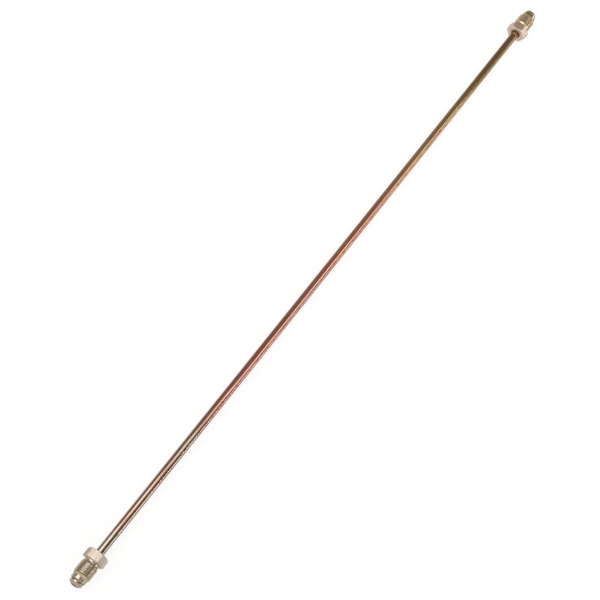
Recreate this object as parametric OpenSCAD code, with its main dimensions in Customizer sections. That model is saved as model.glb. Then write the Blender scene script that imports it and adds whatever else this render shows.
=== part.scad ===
// Rigid brake line: a straight steel tube with a bubble flare at each end,
// and a male tube nut held on it behind each flare.
// The tube lies along X with its middle over the origin, and both nuts rest
// on a flat of their hexagon, at height zero.

/* [Tube] */
// Overall length of the line, from lip to lip
line_l = 450; // [120:10:1200]
// Outside diameter of the tube
tube_d = 4.75; // [4.5:0.05:5]
// Wall thickness of the tube
tube_wall = 0.7; // [0.5:0.05:0.8]

/* [Bubble flare] */
// Diameter over the rim of the flare
flare_d = 7.1; // [6.9:0.1:7.6]
// Length of the flare, from its lip to its flat back
flare_l = 2.7; // [2.6:0.1:3.2]
// Included angle of the sealing cone
flare_angle = 115; // [105:1:120]
// Diameter of the open mouth
mouth_d = 3.4; // [3.2:0.1:3.8]
// Rounding between the sealing cone and the rim
rim_front_r = 0.8; // [0.4:0.1:1]
// Rounding between the rim and the flat back
rim_back_r = 0.45; // [0.2:0.05:0.6]
// Rounding of the lip around the mouth
lip_r = 0.15; // [0.05:0.05:0.2]
// Radius in the corner where the flat back leaves the tube
root_r = 0.3; // [0.2:0.05:0.4]

/* [Nut shank] */
// Diameter of the plain nose
nose_d = 8.3; // [7.9:0.1:8.6]
// Length of the plain nose
nose_l = 2.2; // [1.5:0.1:3]
// Chamfer on the front edge of the nose
nose_chamfer = 0.35; // [0.1:0.05:0.6]
// Outside diameter of the thread
thread_d = 9.95; // [9.8:0.05:10]
// Length of the thread, with its lead chamfer
thread_l = 7.15; // [4:0.05:12]
// Angle of the lead chamfer and of the relief's shoulder to the axis
run_out_angle = 30; // [25:1:45]
// Diameter at the bottom of the relief groove
relief_d = 8.45; // [8.2:0.05:8.7]
// Length of the relief groove, with its shoulder
relief_l = 2.7; // [2:0.1:4]
// Radius in the corner between the groove and the hexagon
relief_r = 0.4; // [0.1:0.05:0.6]

/* [Nut hexagon] */
// Width across the flats
hex_af = 11; // [10.6:0.1:12]
// Length of the hexagon
hex_l = 5.2; // [4:0.1:8]
// Angle between the back face and the chamfer on its corners
hex_chamfer_angle = 30; // [15:1:40]
// Diameter of the flat part of the back face
hex_face_d = 10.4; // [9:0.1:10.5]

/* [Nut bore] */
// Gap between the tube and the nut's bore, measured on the radius
bore_gap = 0.1; // [0.05:0.01:0.15]
// Gap between the flare's flat back and the nut's nose
seat_gap = 0.05; // [0.02:0.01:0.1]
// Diameter of the countersink in the back face
countersink_d = 6.6; // [5.8:0.1:7.4]
// Included angle of the countersink
countersink_angle = 90; // [60:5:120]

/* [Hidden] */

tube_r = tube_d / 2;
tube_bore_r = tube_r - tube_wall;
flare_r = flare_d / 2;
mouth_r = mouth_d / 2;
cone_half = flare_angle / 2;

// The nut starts behind the flare, and its shank is measured from its nose
nut_start = flare_l + seat_gap;
nose_r = nose_d / 2;
thread_r = thread_d / 2;
relief_bottom_r = relief_d / 2;
thread_end = nose_l + thread_l;
hex_start = thread_end + relief_l;
nut_l = hex_start + hex_l;
nut_bore_r = tube_r + bore_gap;
countersink_r = countersink_d / 2;
hex_corner_r = hex_af / sqrt(3);

// The lead-in chamfer of the bore clears the fold behind the flare
seat_chamfer = root_r + bore_gap;
// The axis stands as high as half the hexagon that it rests on
axis_z = hex_af / 2;

// Cuts run this far past the faces that they open
overrun = 1;
// Number of straight steps in a rounded corner of a profile
arc_steps = 6;

tube_colour = [0.45, 0.30, 0.17];
nut_colour = [0.66, 0.61, 0.48];

// Length of the vector v made one
function unit(v) = v / norm(v);

// Points of the arc of radius r that rounds the corner p between a and b
function round_corner(a, p, b, r) =
    r == 0 ? [p] :
    let (
        to_a = unit(a - p),
        to_b = unit(b - p),
        half = acos(to_a * to_b) / 2,
        centre = p + unit(to_a + to_b) * r / sin(half),
        start = p + to_a * r / tan(half) - centre,
        end = p + to_b * r / tan(half) - centre,
        sweep = 180 - 2 * half
    )
    [for (i = [0 : arc_steps])
        let (s = i * sweep / arc_steps)
        centre + (start * sin(sweep - s) + end * sin(s)) / sin(sweep)];

// Closed outline through corners given as [x, y, radius]
function rounded(corners) =
    let (n = len(corners))
    [for (i = [0 : n - 1])
        let (
            a = corners[(i + n - 1) % n],
            p = corners[i],
            b = corners[(i + 1) % n]
        )
        each round_corner([a.x, a.y], [p.x, p.y], [b.x, b.y], p.z)];

// Section of the folded wall, as [radius, distance from the lip].
// The wall bends out square to the tube, turns over the rim and comes back
// down the sealing cone to the mouth, one wall thickness all the way.
function flare_section(length) =
    let (
        lip_corner = lip_r - lip_r / tan(cone_half / 2),
        cone_at_rim = lip_corner + (flare_r - mouth_r) / tan(cone_half),
        lip_depth = lip_corner + tube_wall / sin(cone_half),
        fold_r = flare_r - tube_wall,
        fold_depth = lip_depth + (fold_r - mouth_r) / tan(cone_half),
        bend_r = min(root_r + tube_wall, fold_r - tube_bore_r - lip_r)
    )
    rounded([
        [mouth_r, lip_corner, lip_r],
        [flare_r, cone_at_rim, rim_front_r],
        [flare_r, flare_l, rim_back_r],
        [tube_r, flare_l, root_r],
        [tube_r, length, 0],
        [tube_bore_r, length, 0],
        [tube_bore_r, flare_l - tube_wall, bend_r],
        [fold_r, flare_l - tube_wall, 0],
        [fold_r, fold_depth, 0],
        [mouth_r, lip_depth, 0]
    ]);

// Profile of the turned shank, as [radius, distance from the nose]
function shank_profile() =
    let (
        lead_l = (thread_r - nose_r) / tan(run_out_angle),
        shoulder_l = (thread_r - relief_bottom_r) / tan(run_out_angle)
    )
    concat(
        [
            [0, 0],
            [nose_r - nose_chamfer, 0],
            [nose_r, nose_chamfer],
            [nose_r, nose_l],
            [thread_r, nose_l + lead_l],
            [thread_r, thread_end],
            [relief_bottom_r, thread_end + shoulder_l]
        ],
        round_corner(
            [relief_bottom_r, thread_end],
            [relief_bottom_r, hex_start],
            [relief_bottom_r + relief_r, hex_start],
            relief_r
        ),
        [[relief_bottom_r + relief_r, hex_start + overrun], [0, hex_start + overrun]]
    );

// One half of the line, from the lip at zero up to its middle
module tube_half() {
    rotate_extrude($fn = 64)
        polygon(flare_section(line_l / 2));
}

// Hexagon with its corners chamfered on the tube's side
module hexagon() {
    chamfer_rise = (hex_corner_r - hex_face_d / 2) * tan(hex_chamfer_angle);
    intersection() {
        rotate([0, 0, 30])
            cylinder(h = hex_l, r = hex_corner_r, $fn = 6);
        union() {
            cylinder(h = hex_l - chamfer_rise, r = hex_corner_r + overrun, $fn = 64);
            translate([0, 0, hex_l - chamfer_rise])
                cylinder(h = chamfer_rise, r1 = hex_corner_r, r2 = hex_face_d / 2, $fn = 64);
        }
    }
}

// Tube nut, from its nose at zero up to the back face of its hexagon
module nut() {
    countersink_l = (countersink_r - nut_bore_r) / tan(countersink_angle / 2);
    difference() {
        union() {
            rotate_extrude($fn = 64)
                polygon(shank_profile());
            translate([0, 0, hex_start])
                hexagon();
        }
        translate([0, 0, -overrun])
            cylinder(h = nut_l + 2 * overrun, r = nut_bore_r, $fn = 64);
        cylinder(h = seat_chamfer, r1 = nut_bore_r + seat_chamfer, r2 = nut_bore_r, $fn = 64);
        translate([0, 0, nut_l - countersink_l])
            cylinder(h = countersink_l, r1 = nut_bore_r, r2 = countersink_r, $fn = 64);
    }
}

// Stands a shape that was drawn up from a lip at the end on the side of -X
module at_near_end() {
    translate([-line_l / 2, 0, axis_z])
        rotate([0, 90, 0])
            children();
}

// The same at the other end: the line is alike on both sides of its middle
module at_far_end() {
    mirror([1, 0, 0])
        at_near_end()
            children();
}

module tube() {
    color(tube_colour) {
        at_near_end() tube_half();
        at_far_end() tube_half();
    }
}

module near_nut() {
    color(nut_colour)
        at_near_end()
            translate([0, 0, nut_start])
                nut();
}

module far_nut() {
    color(nut_colour)
        at_far_end()
            translate([0, 0, nut_start])
                nut();
}

tube();
near_nut();
far_nut();
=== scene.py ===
# %% [markdown]
# # A rigid brake line, dressed for its picture
#
# The object is one straight length of thin steel tube. Each end is folded into a bubble
# flare, and a loose male nut waits behind each flare to screw the line into a port. The
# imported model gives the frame: every place below is counted along its axes, so a new
# piece is simply drawn where the model says it is and needs no fitting.

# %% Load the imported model
from math import atan, cos, degrees, pi, radians, sin, sqrt, tan

import bpy
from mathutils import Matrix, Vector


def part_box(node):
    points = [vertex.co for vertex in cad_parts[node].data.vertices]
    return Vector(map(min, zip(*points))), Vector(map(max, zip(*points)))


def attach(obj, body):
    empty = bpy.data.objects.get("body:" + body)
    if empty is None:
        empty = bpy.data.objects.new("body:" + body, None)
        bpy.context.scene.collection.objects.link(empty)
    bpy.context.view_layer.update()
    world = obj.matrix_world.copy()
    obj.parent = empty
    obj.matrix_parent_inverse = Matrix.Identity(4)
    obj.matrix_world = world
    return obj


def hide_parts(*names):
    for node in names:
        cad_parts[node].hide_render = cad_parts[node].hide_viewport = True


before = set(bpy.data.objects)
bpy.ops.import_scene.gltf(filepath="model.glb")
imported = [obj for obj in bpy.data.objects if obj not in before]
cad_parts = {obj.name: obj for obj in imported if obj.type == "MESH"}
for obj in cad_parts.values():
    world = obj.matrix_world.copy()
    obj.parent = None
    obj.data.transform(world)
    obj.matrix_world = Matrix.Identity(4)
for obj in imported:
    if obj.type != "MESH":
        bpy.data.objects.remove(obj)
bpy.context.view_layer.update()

MM = 0.001

# %% [markdown]
# ## The sizes
#
# The plain solids and the dressed pieces have to agree, so their sizes are the same named
# values, in millimetres. What can be read from the model is read from it: the tube's own
# box gives the length of the line, and a nut's box gives its width across the flats.

# %% Sizes of the tube and its flares
tube_low, tube_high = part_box("tube")
nut_low, nut_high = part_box("near_nut")
LINE_L = (tube_high.x - tube_low.x) / MM
TUBE_R = 4.75 / 2
TUBE_WALL = 0.7
FLARE_R = 7.1 / 2
FLARE_L = 2.7
CONE_HALF = radians(115 / 2)
MOUTH_R = 3.4 / 2
RIM_FRONT_R, RIM_BACK_R, LIP_R, ROOT_R = 0.8, 0.45, 0.15, 0.3
AXIS_Z = (nut_high.z + nut_low.z) / 2 / MM
print("line", round(LINE_L, 2), "mm long, its axis", round(AXIS_Z, 2), "mm up")

# %% Sizes of a nut, measured from its nose
NOSE_R, NOSE_L, NOSE_CHAMFER = 8.3 / 2, 2.2, 0.35
THREAD_R, THREAD_L, THREAD_PITCH = 9.95 / 2, 7.15, 1.0
THREAD_END = NOSE_L + THREAD_L
RUN_OUT = radians(30)
RELIEF_R, RELIEF_L, RELIEF_CORNER_R = 8.45 / 2, 2.7, 0.4
HEX_START, HEX_L = THREAD_END + RELIEF_L, 5.2
HALF_FLAT = radians(30)
HEX_HALF = (nut_high.z - nut_low.z) / 2 / MM
HEX_CORNER_R = HEX_HALF / cos(HALF_FLAT)
HEX_CHAMFER, HEX_FACE_R = radians(30), 10.4 / 2
BORE_GAP, SEAT_GAP = 0.1, 0.05
BORE_R, COUNTERSINK_R, SEAT_CHAMFER = TUBE_R + BORE_GAP, 6.6 / 2, ROOT_R + BORE_GAP
NUT_START, NUT_L = FLARE_L + SEAT_GAP, HEX_START + HEX_L
print("hexagon", round(2 * HEX_HALF, 2), "mm across flats, nut", round(NUT_L, 2), "mm long")

# %% [markdown]
# ## The camera
#
# The photograph was taken from above one end, along the line, so the near nut shows its
# front and the far nut its back. The eye stands 13 degrees off the upright plane through
# the tube and looks at a point just short of the line's middle. The roll turns the picture
# until the line runs from the lower left corner to the upper right one. The lens could be
# guessed, but the taper of the tube and the known widths of the two nuts fix it.

# %% Place and aim the camera
EYE = Vector((-340.13, -158.06, 690.12)) * MM
AIM = Vector((-27.34, 1.01, AXIS_Z)) * MM
ROLL = radians(8.965)
LENS, FILM_WIDTH = 83.42, 36
NEAREST, FARTHEST = 0.05, 30

camera = bpy.data.objects.new("camera", bpy.data.cameras.new("camera"))
bpy.context.scene.collection.objects.link(camera)
camera.data.lens, camera.data.sensor_width = LENS, FILM_WIDTH
camera.data.clip_start, camera.data.clip_end = NEAREST, FARTHEST
camera.location = EYE
camera.rotation_mode = "QUATERNION"
sight = (AIM - EYE).to_track_quat("-Z", "Y")
camera.rotation_quaternion = (sight.to_matrix() @ Matrix.Rotation(ROLL, 3, "Z")).to_quaternion()
bpy.context.scene.camera = camera
bpy.context.scene.view_settings.view_transform = "Standard"
print("camera", round((AIM - EYE).length, 3), "m from what it looks at")

# %% [markdown]
# ## A way to write shaders
#
# A material is a graph of nodes, but a formula is easier to read than a graph. So one
# small class wraps the output of a node, and its operators add the Math nodes: with it,
# `1 - mask * 0.3` is written as on paper. Colours and vectors don't go through Math nodes,
# which would turn them grey. They have their own methods. Every other node comes from
# `node`, which sets the node's own settings first and its sockets afterwards.

# %% The wrapper for sockets
class Wire:
    """One output of a node, or the maker of a tree's nodes where it has no output."""

    def __init__(self, tree, output=None):
        self.tree, self.output = tree, output

    def node(self, kind, settings=None, sockets=None, result=0):
        made = self.tree.nodes.new("ShaderNode" + kind)
        for name, setting in (settings or {}).items():
            if name == "stops":
                self.set_stops(made.color_ramp, setting)
            else:
                setattr(made, name, setting)
        for socket, value in (sockets or {}).items():
            if isinstance(value, Wire):
                self.tree.links.new(value.output, made.inputs[socket])
            else:
                made.inputs[socket].default_value = value
        return Wire(self.tree, made.outputs[result]) if made.outputs else None

    @staticmethod
    def set_stops(ramp, stops):
        while len(ramp.elements) < len(stops):
            ramp.elements.new(0.5)
        for element, (place, colour) in zip(ramp.elements, stops):
            element.position, element.color = place, (*colour, 1)

    def math(self, operation, first, second=0.0):
        return self.node("Math", {"operation": operation}, {0: first, 1: second})

    def __add__(self, other):
        return self.math("ADD", self, other)

    def __sub__(self, other):
        return self.math("SUBTRACT", self, other)

    def __rsub__(self, other):
        return self.math("SUBTRACT", other, self)

    def __mul__(self, other):
        return self.math("MULTIPLY", self, other)

    __radd__, __rmul__ = __add__, __mul__

    def size(self):
        """The value without its sign."""
        return self.math("ABSOLUTE", self)

    def between(self, low, high):
        """0 below low, 1 above high, and a smooth rise from one to the other."""
        sockets = {"Value": self, "From Min": low, "From Max": high}
        return self.node("MapRange", {"interpolation_type": "SMOOTHSTEP"}, sockets)

    def mix(self, share, first, second):
        """The first colour, with a share of the second over it."""
        factor, colour_a, colour_b, colour_out = 0, 6, 7, 2
        sockets = {factor: share, colour_a: first, colour_b: second}
        return self.node("Mix", {"data_type": "RGBA"}, sockets, result=colour_out)

    def vector(self, operation, first, second=(0, 0, 0), result="Vector"):
        return self.node("VectorMath", {"operation": operation}, {0: first, 1: second}, result)

    def noise(self, place, scale, detail, roughness=0.5, stretch=None):
        """A cloudy value round 0.5; a stretch under 1 draws it out along that axis."""
        if stretch:
            place = self.vector("MULTIPLY", place, stretch)
        sockets = {"Vector": place, "Scale": scale, "Detail": detail, "Roughness": roughness}
        return self.node("TexNoise", None, sockets)

    def bump(self, height, depth, strength, over=None):
        """The normal of a surface with this height on it, over an earlier bump or none."""
        sockets = {"Strength": strength, "Distance": depth, "Height": height}
        if over:
            sockets["Normal"] = over
        return self.node("Bump", None, sockets, result="Normal")


def new_material(name):
    """An empty material and the maker of its nodes."""
    material = bpy.data.materials.new(name)
    material.use_nodes = True
    material.node_tree.nodes.clear()
    return material, Wire(material.node_tree)


print("operators that write Math nodes: +, - and *")

# %% [markdown]
# ## The floor and the room
#
# The line lies on white paper. Polished metal shows the room more than it shows itself, so
# most of the work is in the room. Most of what the eye and gloss see of the paper is its
# own glow, which keeps it white where the lamps fade, and the rest takes light and keeps a
# soft shadow under the tube. The room could be one plain grey, but then the tube would be
# one plain grey too. Here it is warm and dim overhead, which gives the dark lines along the
# tube, it is bright in front of the near end, and it has a dark card low on the eye's side.
# The eye itself sees only a near-white wall, and so does gloss where it looks near the
# horizon.

# %% Floor
FLOOR_R, FLOOR_SIDES = 15.0, 96
FLOOR_DROP = 0.00002
PAPER, PAPER_GLOW = (0.95, 0.95, 0.95, 1), 0.86

floor_mesh = bpy.data.meshes.new("floor")
rim = [(FLOOR_R * cos(2 * pi * i / FLOOR_SIDES), FLOOR_R * sin(2 * pi * i / FLOOR_SIDES), 0)
       for i in range(FLOOR_SIDES)]
floor_mesh.from_pydata(rim, [], [range(FLOOR_SIDES)])
floor = bpy.data.objects.new("floor", floor_mesh)
floor.location.z = min(nut_low.z, 0) - FLOOR_DROP
bpy.context.scene.collection.objects.link(floor)
print("floor", FLOOR_R, "m in radius")


# %% Paper
def seen(wire):
    """1 for rays that come from the eye, from gloss or through glass, and else 0."""
    eye, gloss, glass = (wire.node("LightPath", result=ray)
                         for ray in ("Is Camera Ray", "Is Glossy Ray", "Is Transmission Ray"))
    return wire.math("MAXIMUM", wire.math("MAXIMUM", eye, gloss), glass)


paper, wire = new_material("white_paper")
lit = wire.node("BsdfDiffuse", None, {"Color": PAPER})
glow = wire.node("Emission", None, {"Color": (1, 1, 1, 1), "Strength": 1.0})
shown = wire.node("MixShader", None, {0: seen(wire) * PAPER_GLOW, 1: lit, 2: glow})
wire.node("OutputMaterial", None, {"Surface": shown})
floor_mesh.materials.append(paper)
print("paper glows by", PAPER_GLOW, "where it is seen")

# %% Room
ROOM_DARK, ROOM_LIGHT = (0.31, 0.25, 0.20, 1), (0.57, 0.46, 0.37, 1)
ROOM_FRONT, ROOM_WALL = (1.25, 1.22, 1.18, 1), (0.965, 0.96, 0.95, 1)
DARK_CARD, CARD_SHARE = (0.06, 0.045, 0.035, 1), 0.85
# Each edge of a zone is (from, to), as one coordinate of the direction that is looked in
FRONT_EDGE, LIGHT_START, LIGHT_END = (-0.10, 0.12), (0.19, 0.48), (0.53, 0.60)
CARD_SIDE, CARD_TOP, HORIZON = (-0.62, -0.45), (0.50, 0.62), (0.04, 0.14)

world = bpy.data.worlds.new("room")
world.use_nodes = True
world.node_tree.nodes.clear()
wire = Wire(world.node_tree)
look = wire.node("TexCoord", result="Generated")
lengthwise, sideways, height = (wire.node("SeparateXYZ", None, {0: look}, result=axis)
                                for axis in "XYZ")
colour = wire.mix(lengthwise.between(*LIGHT_START), ROOM_DARK, ROOM_LIGHT)
colour = wire.mix(lengthwise.between(*LIGHT_END), colour, ROOM_DARK)
card = (1 - sideways.between(*CARD_SIDE)) * (1 - height.between(*CARD_TOP))
colour = wire.mix(card * CARD_SHARE, colour, DARK_CARD)
colour = wire.mix(lengthwise.between(*FRONT_EDGE), ROOM_FRONT, colour)
wall = seen(wire) * (1 - height.between(*HORIZON))
wall = wire.math("MAXIMUM", wall, wire.node("LightPath", result="Is Camera Ray"))
colour = wire.mix(wall, colour, ROOM_WALL)
background = wire.node("Background", None, {"Color": colour, "Strength": 1.0})
wire.node("OutputWorld", None, {"Surface": background})
bpy.context.scene.world = world
print("room from", ROOM_DARK[:3], "overhead to", ROOM_FRONT[:3], "in front")

# %% [markdown]
# ## The lamps
#
# What reads as the tube's shine is the picture of a lamp in it, drawn out into a line.
# A tube squeezes everything on either side of it into a few millimetres, so the lamps are
# large soft boxes. In the photograph the bright line starts on the far side of the tube
# at the near end and crosses to the near side by the middle. One long box can't do that,
# so a row of boxes turns over step by step. Three more lie low and light the rim next to
# the paper. What stays unlit between them is the thin dark line along the tube. Each box
# is placed by the angle at which the tube sees it, counted round the tube from the eye's
# side, and its strength is a radiance, so that its size doesn't change how bright it looks.

# %% How a soft box is placed
LEAN = 13
LENGTHWISE = Vector((1, 0, 0))
# A lamp's power is this many times its area where its radiance is 1
POWER_TO_AREA = 4


def way_round(angle):
    """The way out from the tube, so many degrees round it from the eye's side."""
    tilt = radians(LEAN + angle)
    return Vector((0, -sin(tilt), cos(tilt)))


def soft_box(name, along, around, distance, radiance):
    """A lamp that faces the tube; along is (from, to) in mm, around in degrees."""
    lamp = bpy.data.lights.new(name, "AREA")
    lamp.shape = "RECTANGLE"
    lamp.size = (along[1] - along[0]) * MM
    lamp.size_y = 2 * distance * tan(radians(around[1] - around[0]) / 2)
    lamp.energy = POWER_TO_AREA * radiance * lamp.size * lamp.size_y
    box = bpy.data.objects.new(name, lamp)
    out = way_round((around[0] + around[1]) / 2)
    middle = Vector(((along[0] + along[1]) / 2 * MM, 0, AXIS_Z * MM))
    box.location = middle + out * distance
    box.rotation_mode = "QUATERNION"
    axes = Matrix((LENGTHWISE, out.cross(LENGTHWISE), out)).transposed()
    box.rotation_quaternion = axes.to_quaternion()
    box.visible_camera = False
    bpy.context.scene.collection.objects.link(box)
    print(name, [round(side, 2) for side in (lamp.size, lamp.size_y)], "m, radiance", radiance)


print("the eye stands", LEAN, "degrees round the tube from straight up")

# %% Boxes that draw the bright line
soft_box("near_box", (-185, -25), (-56, -8), 0.72, 2.4)
soft_box("between_box", (-25, 35), (-47, -1), 0.69, 2.2)
soft_box("turning_box", (35, 85), (-33, 10), 0.66, 1.9)
soft_box("middle_box", (85, 135), (-18, 24), 0.64, 1.7)
soft_box("long_box", (130, 380), (15, 33), 0.66, 3.6)
soft_box("end_box", (380, 590), (19, 35), 0.66, 3.2)
soft_box("far_box", (590, 820), (46, 55), 0.66, 1.4)

# %% Low boxes that light the rim
soft_box("near_low_box", (-88, -10), (67, 76.5), 0.60, 5.4)
soft_box("low_box", (-10, 560), (73.5, 76.5), 0.60, 11.5)
soft_box("far_low_box", (690, 900), (62, 76.5), 0.60, 4.0)

# %% [markdown]
# ## The finishes
#
# Both finishes are thin coats on steel: zinc under a yellow passivation. The coat is only
# a few wavelengths thick, and where its thickness drifts the colour drifts from olive
# through gold to copper and plum. So the tint is a slow noise, drawn out along the tube
# because the tube was drawn and dipped lengthwise, and a ramp turns that noise into the
# row of colours that such a film goes through. A flat brown would look painted.

# %% Colours of the tube
TUBE_TINTS = [
    (0.00, (0.29, 0.190, 0.070)),
    (0.22, (0.32, 0.196, 0.070)),
    (0.38, (0.33, 0.150, 0.071)),
    (0.50, (0.33, 0.122, 0.081)),
    (0.68, (0.31, 0.133, 0.098)),
    (0.81, (0.29, 0.175, 0.126)),
    (1.00, (0.27, 0.230, 0.172)),
]
SCUFFED_END, STAIN = (0.34, 0.29, 0.20, 1), (0.10, 0.06, 0.035, 1)
TUBE_EDGE_TINT = (0.45, 0.35, 0.3, 1)
print("tints of the tube's film:", len(TUBE_TINTS))

# %% Patterns on the tube, as stretch and scale
DRIFT_STRETCH, DRIFT_SCALE = (0.06, 1, 1), 260.0
PATCH_STRETCH, PATCH_SCALE, PATCH_SHIFT = (1, 0.4, 0.4), 34.0, (0.06, 0, 0)
SCRATCH_STRETCH, SCRATCH_SCALE, SCRATCH_DEPTH = (0.01, 1, 1), 2600.0, 0.008 * MM
RIPPLE_STRETCH, RIPPLE_SCALE, RIPPLE_DEPTH = (1, 0.3, 0.3), 120.0, 0.06 * MM
FORMED_FROM, FORMED_TO = ((LINE_L / 2 - left) * MM for left in (4.5, 3.0))
TINTS_PER_METRE, PATCH_SWAY, DRIFT_SWAY = 2.1, 0.8, 0.5
DRIFT_STAIN, SCRATCH_STAIN = (0.35, 0.75), (0.5, 0.8)
print("scuffed by the flaring tool over the last", round(LINE_L / 2 - FORMED_FROM / MM, 1), "mm")


# %% Finish of the tube
def film_tint(wire, along, patches, drift, scratches, formed):
    """Where the film's colour stands in the row of tints, and what lies over it."""
    order = (0.5 - along * TINTS_PER_METRE) + (patches - 0.5) * PATCH_SWAY
    order = order + (drift - 0.5) * DRIFT_SWAY
    tint = wire.node("ValToRGB", {"stops": TUBE_TINTS}, {0: order})
    stain = drift.between(*DRIFT_STAIN) * 0.16 + scratches.between(*SCRATCH_STAIN) * 0.10
    return wire.mix(formed * 0.9, wire.mix(stain, tint, STAIN), SCUFFED_END)


def tube_finish():
    material, wire = new_material("passivated_tube")
    place = wire.node("TexCoord", result="Object")
    along = wire.node("SeparateXYZ", None, {0: place}, result="X")
    drift = wire.noise(place, DRIFT_SCALE, 3.0, stretch=DRIFT_STRETCH)
    shifted = wire.vector("ADD", place, PATCH_SHIFT)
    patches = wire.noise(shifted, PATCH_SCALE, 2.0, stretch=PATCH_STRETCH)
    scratches = wire.noise(place, SCRATCH_SCALE, 3.0, 0.6, stretch=SCRATCH_STRETCH)
    ripple = wire.noise(place, RIPPLE_SCALE, 2.0, stretch=RIPPLE_STRETCH)
    formed = along.size().between(FORMED_FROM, FORMED_TO)
    waves = wire.bump(ripple, RIPPLE_DEPTH, 0.35)
    metal = wire.node("BsdfPrincipled", None, {
        "Base Color": film_tint(wire, along, patches, drift, scratches, formed),
        "Metallic": 1.0,
        "Roughness": 0.09 + scratches * 0.06 + patches * 0.04 + formed * 0.15,
        "Normal": wire.bump(scratches, SCRATCH_DEPTH, 0.25, over=waves),
        "Specular Tint": TUBE_EDGE_TINT,
        "Coat Weight": 1.0, "Coat Roughness": 0.05, "Coat IOR": 1.65,
    })
    wire.node("OutputMaterial", None, {"Surface": metal})
    return material


tube_material = tube_finish()
print("tube finish:", len(tube_material.node_tree.nodes), "nodes")

# %% [markdown]
# The nuts are turned from bar, tumbled and plated in a barrel with thousands of others, so
# their coat is matt and paler than the tube's. Two noises alone would make a nut that is
# the same all over, so the shader first works out where it is. The distance from the
# tube's axis tells it how deep it is in the thread: the crests are rubbed pale and the
# roots are made darker. The place along the line tells it where the shank ends: the shank
# keeps a smoother olive film, and the flats of the hexagon show the streaks of the drawn
# bar. The two nuts had their own time in the bath, so the far one has a pinker hexagon
# and more olive on its shank.

# %% Colours of the nuts
NUT_TINTS = [
    (0.25, (0.34, 0.28, 0.18)),
    (0.45, (0.46, 0.40, 0.325)),
    (0.60, (0.51, 0.455, 0.40)),
    (0.80, (0.48, 0.42, 0.425)),
]
PINKER, OLIVE = (0.68, 0.545, 0.46, 1), (0.39, 0.32, 0.185, 1)
RUBBED, DRAWN_DARK = (0.76, 0.69, 0.57, 1), (0.33, 0.26, 0.22, 1)
PIT_DARK, ROOT_DARK = (0.30, 0.25, 0.16, 1), (0.30, 0.25, 0.15, 1)
NUT_EDGE_TINT = (0.8, 0.74, 0.68, 1)
print("tints of the nuts' plating:", len(NUT_TINTS))

# %% Places on a nut, in metres
AXIS = (0, 0, AXIS_Z * MM)
ROUND_THE_AXIS = (0, 1, 1)
SHANK_END = (LINE_L / 2 - NUT_START - HEX_START) * MM
SHANK_BLEND, FAR_BLEND = 0.2 * MM, 100 * MM
CREST = ((THREAD_R - 0.12) * MM, (THREAD_R - 0.03) * MM)
ROOT = ((RELIEF_R - 0.1) * MM, (THREAD_R - 0.25) * MM)
CLOUD_SCALE, GRAIN_SCALE, GRAIN_DEPTH = 170.0, 1500.0, 0.03 * MM
DRAWN_STRETCH, DRAWN_SCALE = (0.04, 1, 1), 900.0
print("the shanks start", round(SHANK_END / MM, 1), "mm from the line's middle")


# %% Finish of the nuts
def plating_tint(wire, place, towards_far, grain, on_shank):
    """The plating's own colour, what the bar, the barrel and use left on it, and darker roots."""
    radius = wire.vector("LENGTH", wire.vector("MULTIPLY", wire.vector("SUBTRACT", place, AXIS),
                                               ROUND_THE_AXIS), result="Value")
    rubbed = on_shank * radius.between(*CREST)
    deep = 1 - radius.between(*ROOT)
    drawn = wire.noise(place, DRAWN_SCALE, 3.0, 0.6, stretch=DRAWN_STRETCH)
    streaks = drawn.between(0.48, 0.72) * (1 - on_shank)
    cloud = wire.noise(place, CLOUD_SCALE, 3.0)
    tint = wire.node("ValToRGB", {"stops": NUT_TINTS}, {0: cloud})
    for share, colour in (
        (towards_far * 0.8, PINKER),
        (streaks * 0.62, DRAWN_DARK),
        (grain.between(0.5, 0.8) * 0.25, PIT_DARK),
        (deep * on_shank * 0.15, ROOT_DARK),
        (rubbed * (1 - grain * 0.5), RUBBED),
        (on_shank * (0.2 + towards_far * 0.55), OLIVE),
    ):
        tint = wire.mix(share, tint, colour)
    return tint


def nut_finish():
    material, wire = new_material("plated_nut")
    place = wire.node("TexCoord", result="Object")
    along = wire.node("SeparateXYZ", None, {0: place}, result="X")
    towards_far = along.between(-FAR_BLEND, FAR_BLEND)
    on_shank = along.size().between(SHANK_END, SHANK_END + SHANK_BLEND)
    grain = wire.noise(place, GRAIN_SCALE, 4.0, 0.65)
    metal = wire.node("BsdfPrincipled", None, {
        "Base Color": plating_tint(wire, place, towards_far, grain, on_shank),
        "Metallic": 1.0,
        "Roughness": 0.36 + grain * 0.12 - on_shank * 0.20,
        "Normal": wire.bump(grain, GRAIN_DEPTH, 0.4),
        "Specular Tint": NUT_EDGE_TINT,
    })
    wire.node("OutputMaterial", None, {"Surface": metal})
    return material


nut_material = nut_finish()
print("nut finish:", len(nut_material.node_tree.nodes), "nodes")

# %% [markdown]
# ## Turned surfaces
#
# Everything here was made round a centre line, so one helper sweeps a profile round the
# axis. A profile is a list of (distance along the axis, radius), and its corners carry a
# small radius each, because a perfectly sharp edge never catches the light. The hexagon
# is made by the same helper: its profile is asked for anew at each angle, and answers with
# the radius that the hexagon has there. That gives clean rows of faces along the curved
# edge where the chamfer cuts the flats, which a Boolean would leave ragged.

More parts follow.
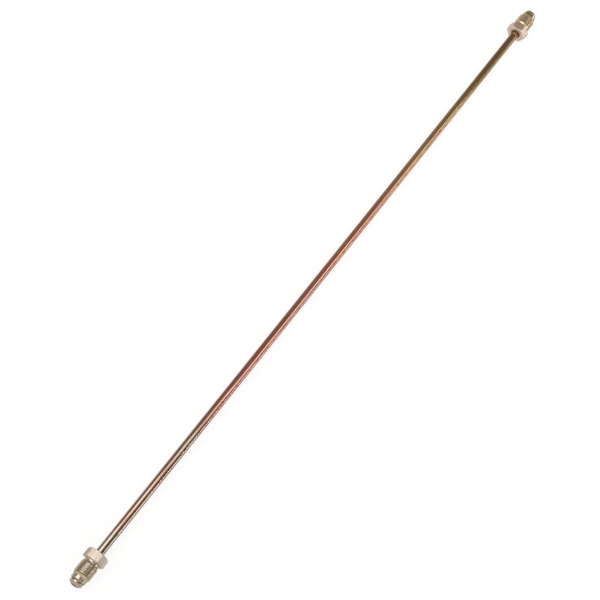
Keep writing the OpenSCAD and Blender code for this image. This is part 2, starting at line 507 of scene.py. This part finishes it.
# %% Rounding the corners of a profile
def rounded(corners, steps=4):
    """Open outline through (along, radius, rounding) corners, each with steps + 1 points."""
    points = [Vector(corners[0][:2])]
    for before, here, after in zip(corners, corners[1:], corners[2:]):
        corner, rounding = Vector(here[:2]), here[2]
        back = (Vector(before[:2]) - corner).normalized()
        ahead = (Vector(after[:2]) - corner).normalized()
        half = back.angle(ahead) / 2
        if rounding == 0:
            points.append(corner)
            continue
        centre = corner + (back + ahead).normalized() * rounding / sin(half)
        start, end = (corner + way * rounding / tan(half) - centre for way in (back, ahead))
        sweep = pi - 2 * half
        for i in range(steps + 1):
            turn = sweep * i / steps
            points.append(centre + (start * sin(sweep - turn) + end * sin(turn)) / sin(sweep))
    points.append(Vector(corners[-1][:2]))
    return points


print("a rounded right angle has", len(rounded([(0, 1, 0), (1, 1, 0.1), (1, 0, 0)])) - 2, "points")

# %% Sweeping profiles round the axis
SHARP = radians(40)


def ring_point(along, radius, angle):
    """A point of the line in its own frame, angle counted from straight up, in mm."""
    return (along, radius * sin(angle), radius * cos(angle))


class Skin:
    """The points and faces of a surface that goes round the axis."""

    def __init__(self, angles):
        self.angles, self.points, self.faces = angles, [], []

    def rings(self, profile_at):
        """Adds a ring for each point of the profile, which may differ from angle to angle."""
        profiles = [profile_at(angle) for angle in self.angles]
        start = len(self.points)
        for angle, profile in zip(self.angles, profiles):
            self.points += [ring_point(*point, angle) for point in profile]
        length = len(profiles[0])
        return [[start + column * length + row for column in range(len(self.angles))]
                for row in range(length)]

    def join(self, first, second):
        """Faces between two rings, wound to look outward where the second lies further on."""
        count = len(first)
        for i in range(count):
            j = (i + 1) % count
            self.faces.append((first[i], second[i], second[j], first[j]))

    def piece(self, name, material, to_world):
        """The finished object, in metres, at its place in the frame."""
        mesh = bpy.data.meshes.new(name)
        mesh.from_pydata([to_world @ Vector(p) * MM for p in self.points], [], self.faces)
        mesh.validate()
        mesh.materials.append(material)
        mesh.shade_smooth()
        mesh.set_sharp_from_angle(angle=SHARP)
        made = bpy.data.objects.new(name, mesh)
        bpy.context.scene.collection.objects.link(made)
        even = made.modifiers.new("even_flats", "WEIGHTED_NORMAL")
        even.keep_sharp = True
        triangles = sum(len(face.vertices) - 2 for face in mesh.polygons)
        print(name, len(mesh.vertices), "points,", triangles, "triangles")
        return made


print("edges that bend by more than", round(degrees(SHARP)), "degrees stay sharp")

# %% [markdown]
# ## The tube and its bubble flares
#
# A flaring tool grips the tube, upsets its end into a bubble and then folds the bubble's
# front back inside, so the wall lies double in the flare. The section follows the wall:
# square out from the tube, over the rim, down the sealing cone to the mouth, and inside
# back along the fold. Half of the line is written down and the other half is its mirror
# image, as the two ends are formed alike.

# %% Section of the wall
FLARE_STEPS = 8


def flare_section():
    """The outside and the inside of half the tube, as (distance from the lip, radius)."""
    lip_corner = LIP_R - LIP_R / tan(CONE_HALF / 2)
    cone_at_rim = lip_corner + (FLARE_R - MOUTH_R) / tan(CONE_HALF)
    lip_depth = lip_corner + TUBE_WALL / sin(CONE_HALF)
    fold_r = FLARE_R - TUBE_WALL
    fold_depth = lip_depth + (fold_r - MOUTH_R) / tan(CONE_HALF)
    bore_r = TUBE_R - TUBE_WALL
    bend_r = min(ROOT_R + TUBE_WALL, fold_r - bore_r - LIP_R)
    middle = LINE_L / 2
    outside = rounded([
        (lip_depth, MOUTH_R, 0), (lip_corner, MOUTH_R, LIP_R),
        (cone_at_rim, FLARE_R, RIM_FRONT_R), (FLARE_L, FLARE_R, RIM_BACK_R),
        (FLARE_L, TUBE_R, ROOT_R), (middle, TUBE_R, 0),
    ], steps=FLARE_STEPS)
    inside = rounded([
        (lip_depth, MOUTH_R, 0), (fold_depth, fold_r, 0),
        (FLARE_L - TUBE_WALL, fold_r, 0), (FLARE_L - TUBE_WALL, bore_r, bend_r),
        (middle, bore_r, 0),
    ], steps=FLARE_STEPS)
    return outside, inside


outside, inside = flare_section()
print("wall of half the line:", len(outside), "points outside,", len(inside), "inside")

# %% The tube
TUBE_SIDES, LONGEST_FACE = 96, 9.0


def long_rows(points):
    """The same half outline, with rows added along its last, long stretch."""
    start, end = points[-2].x, points[-1].x
    count = int((end - start) / LONGEST_FACE)
    rows = [Vector((start + (end - start) * i / count, points[-1].y)) for i in range(1, count)]
    return points[:-1] + rows + points[-1:]


outside, inside = long_rows(outside), long_rows(inside)
mirrored = [[Vector((LINE_L - p.x, p.y)) for p in reversed(half[:-1])]
            for half in (outside, inside)]
loop = outside + mirrored[0] + list(reversed(inside + mirrored[1]))[1:-1]

tube_skin = Skin([2 * pi * i / TUBE_SIDES for i in range(TUBE_SIDES)])
tube_rings = tube_skin.rings(lambda angle: loop)
for first, second in zip(tube_rings, tube_rings[1:] + tube_rings[:1]):
    tube_skin.join(first, second)

near_end = Matrix.Translation((-LINE_L / 2, 0, AXIS_Z))
tube = tube_skin.piece("drawn_tube", tube_material, near_end)
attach(tube, "line")
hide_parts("tube")

# %% [markdown]
# ## The nuts
#
# A nut is turned from hexagon bar. Behind its plain nose comes the metric fine thread, then
# the groove where the die runs out, and then the hexagon, chamfered on the spanner's side.
# The thread is a real one here: its rows follow the helix, and the chamfers at its ends
# simply cut it off, as they do on the lathe, so it rises out of the nose and dies away
# into the groove. A stack of rings would be easier, but it would be a row of grooves and
# no thread, and a close look at its silhouette shows that.

# %% Angles and radii of the hexagon
FLAT_STEPS, CORNER_STEPS, CORNER_ROUND = 12, 4, 0.22
flat_edge = HEX_HALF * tan(HALF_FLAT) - CORNER_ROUND * tan(HALF_FLAT)
FLAT_ANGLE = atan(flat_edge / HEX_HALF)
CORNER_ANGLE = HALF_FLAT - FLAT_ANGLE
sector = [FLAT_ANGLE * (2 * i / FLAT_STEPS - 1) for i in range(FLAT_STEPS)]
sector += [FLAT_ANGLE + 2 * CORNER_ANGLE * i / CORNER_STEPS for i in range(CORNER_STEPS)]
NUT_ANGLES = [2 * HALF_FLAT * flat + angle for flat in range(6) for angle in sector]
print("each flat ends", round(degrees(FLAT_ANGLE), 1), "degrees from its middle")


def hexagon_radius(angle):
    """Radius of the hexagon with its rounded corners, at an angle from a flat's middle."""
    off = (angle + HALF_FLAT) % (2 * HALF_FLAT) - HALF_FLAT
    if abs(off) <= FLAT_ANGLE + 1e-9:
        return HEX_HALF / cos(off)
    from_corner = HALF_FLAT - abs(off)
    centre = HEX_CORNER_R - CORNER_ROUND / cos(HALF_FLAT)
    return centre * cos(from_corner) + sqrt(CORNER_ROUND ** 2 - (centre * sin(from_corner)) ** 2)


# %% Profile of the front, up to where the thread starts
EDGE = 0.08


def front_profile(angle):
    """The same at every angle, because the front of the nut is round."""
    return rounded([
        (NUT_L / 2, BORE_R, 0), (SEAT_CHAMFER, BORE_R, EDGE),
        (0, BORE_R + SEAT_CHAMFER, EDGE), (0, NOSE_R - NOSE_CHAMFER, EDGE),
        (NOSE_CHAMFER, NOSE_R, EDGE), (NOSE_L, NOSE_R, 0),
    ])


print("front of a nut:", len(front_profile(0)), "points")


# %% Profile of the back, from the groove over the hexagon to the bore
THREAD_SHOULDER = (THREAD_R - RELIEF_R) / tan(RUN_OUT)


def back_profile(angle):
    """It stops short of the bore's middle, where the front profile starts."""
    corner_r = hexagon_radius(angle)
    back = HEX_START + HEX_L
    cut = back - (HEX_CORNER_R - HEX_FACE_R) * tan(HEX_CHAMFER)
    chamfer_start = cut + (HEX_CORNER_R - corner_r) * tan(HEX_CHAMFER)
    return rounded([
        (THREAD_END + THREAD_SHOULDER, RELIEF_R, 0),
        (HEX_START, RELIEF_R, RELIEF_CORNER_R),
        (HEX_START, corner_r, EDGE * 1.5),
        (chamfer_start, corner_r, EDGE),
        (back, HEX_FACE_R, EDGE),
        (back, COUNTERSINK_R, EDGE),
        (back - (COUNTERSINK_R - BORE_R), BORE_R, EDGE),
        (NUT_L / 2, BORE_R, 0),
    ])[:-1]


print("back of a nut:", len(back_profile(0)), "points")

# %% Form of one turn of the thread
# Each step is (share of a turn from the crest, height against the crest in mm)
DEPTH = 0.58 * THREAD_PITCH
CREST_TO_ROOT = [(0.12, -0.010), (0.155, -0.050), (0.28, -0.273), (0.405, -0.49),
                 (0.43, -DEPTH + 0.05), (0.46, -DEPTH + 0.012)]
ROOT_TO_CREST = [(-share, drop) for share, drop in reversed(CREST_TO_ROOT)]
TURN = [(-0.50, -DEPTH), *ROOT_TO_CREST, (0.0, 0.0), *CREST_TO_ROOT]
print("thread", round(DEPTH, 2), "mm deep, drawn in", len(TURN), "steps a turn")


def cut_off(along, radius):
    """The radius after the chamfers at both ends of the thread have been turned."""
    front = NOSE_R + (along - NOSE_L) * tan(RUN_OUT)
    back = THREAD_R - (along - THREAD_END) * tan(RUN_OUT)
    return min(radius, front, back)


# %% Points of the thread
THREAD_START, THREAD_STOP = NOSE_L, THREAD_END + THREAD_SHOULDER
SNAP = 0.004


def thread_grid(skin, first_ring, last_ring):
    """Rows of points along the helix; past its ends they are the points of the rings."""
    turns = int((THREAD_STOP - THREAD_START) / THREAD_PITCH) + 3
    grid = []
    for turn, drop in [(turn + share, drop) for turn in range(-1, turns) for share, drop in TURN]:
        row = []
        for column, angle in enumerate(skin.angles):
            along = THREAD_START + (turn - angle / (2 * pi)) * THREAD_PITCH
            if along <= THREAD_START + SNAP:
                row.append(first_ring[column])
            elif along >= THREAD_STOP - SNAP:
                row.append(last_ring[column])
            else:
                radius = cut_off(along, THREAD_R + drop)
                skin.points.append(ring_point(along, radius, angle))
                row.append(len(skin.points) - 1)
        grid.append(row)
    return grid


print("thread from", THREAD_START, "to", round(THREAD_STOP, 2), "mm behind a nut's nose")


# %% Building a nut
def thread_faces(skin, grid):
    """Faces between the rows; after a full turn a row goes on in the row one pitch back."""
    columns = len(skin.angles)
    for row in range(len(grid) - 1):
        for column in range(columns):
            following = (column + 1) % columns
            beside = row - len(TURN) if following == 0 else row
            if beside < 0:
                continue
            face = (grid[row][column], grid[row + 1][column],
                    grid[beside + 1][following], grid[beside][following])
            kept = [p for i, p in enumerate(face) if p != face[i - 1]]
            if len(set(kept)) == len(kept) >= 3:
                skin.faces.append(tuple(kept))


def nut_skin():
    skin = Skin(NUT_ANGLES)
    front = skin.rings(front_profile)
    back = skin.rings(back_profile)
    thread_faces(skin, thread_grid(skin, front[-1], back[0]))
    for rows in (front, back):
        for first, second in zip(rows, rows[1:]):
            skin.join(first, second)
    skin.join(back[-1], front[0])
    return skin


nut_surface = nut_skin()
print("skin of a nut:", len(nut_surface.points), "points,", len(nut_surface.faces), "faces")

# %% [markdown]
# Both nuts are the same piece, so both come from one skin. The far one is turned end for
# end and not mirrored, because a mirror would make its right-hand thread a left-hand one.

# %% The two nuts
near_place = near_end @ Matrix.Translation((NUT_START, 0, 0))
far_place = (Matrix.Translation((0, 0, AXIS_Z)) @ Matrix.Rotation(pi, 4, "Z")
             @ Matrix.Translation((NUT_START - LINE_L / 2, 0, 0)))
for name, place in (("near_nut", near_place), ("far_nut", far_place)):
    nut = nut_surface.piece("threaded_" + name, nut_material, place)
    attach(nut, name)
    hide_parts(name)
